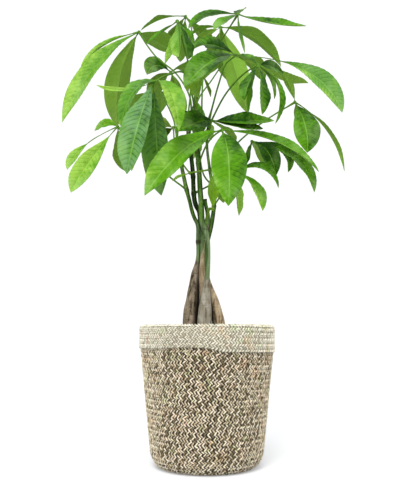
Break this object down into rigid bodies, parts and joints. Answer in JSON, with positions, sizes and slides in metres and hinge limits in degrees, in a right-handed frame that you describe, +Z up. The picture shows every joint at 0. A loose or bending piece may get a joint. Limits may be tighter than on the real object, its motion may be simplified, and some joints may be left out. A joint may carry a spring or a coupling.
{
  "type": "potted money tree",
  "caption": "Braided money tree with drooping five- to seven-part leaves, rooted in soil in a lined, two-tone woven seagrass basket that stands on a flat base.",
  "frame": {"origin": "centre of the basket's flat underside", "axes": "+Z up along the basket's axis; the front of the plant faces -Y, its left side is -X"},
  "size_m": [0.3041, 0.2612, 0.514],
  "materials": {
    "basket_rope": "coarse woven seagrass, pale and brown strands",
    "rim_rope": "coarse woven seagrass, pale",
    "liner_plastic": "matt black moulded plastic",
    "soil": "dark crumbly potting soil",
    "bark": "grey-brown bark below, smooth green stem above",
    "leaf_green": "smooth leaf with a satin sheen",
    "young_leaf": "smooth young leaf, paler"
  },
  "bodies": {
    "root": {"basket_body": "basket_rope", "basket_band": "rim_rope", "liner_pot": "liner_plastic", "soil": "soil", "trunk_left": "bark", "trunk_front": "bark", "trunk_right": "bark", "trunk_back": "bark", "leaf_top_left": "leaf_green", "leaf_top_centre": "leaf_green", "leaf_top_behind": "leaf_green", "leaf_top_right": "leaf_green", "leaf_crown_back": "leaf_green", "leaf_upper_right": "leaf_green", "leaf_right_front": "leaf_green", "leaf_far_right": "leaf_green", "leaf_front_low": "leaf_green", "leaf_centre": "leaf_green", "leaf_front_left": "leaf_green", "leaf_far_left": "leaf_green", "young_leaf_left": "young_leaf", "young_leaf_centre": "young_leaf", "young_shoot_left": "young_leaf", "leaf_inner_left": "leaf_green", "leaf_lower_right": "leaf_green", "leaf_low_right": "leaf_green", "young_shoot_right": "young_leaf", "leaf_back_left": "leaf_green", "leaf_back_top": "leaf_green", "leaf_back_low": "leaf_green"}
  },
  "joints": []
}
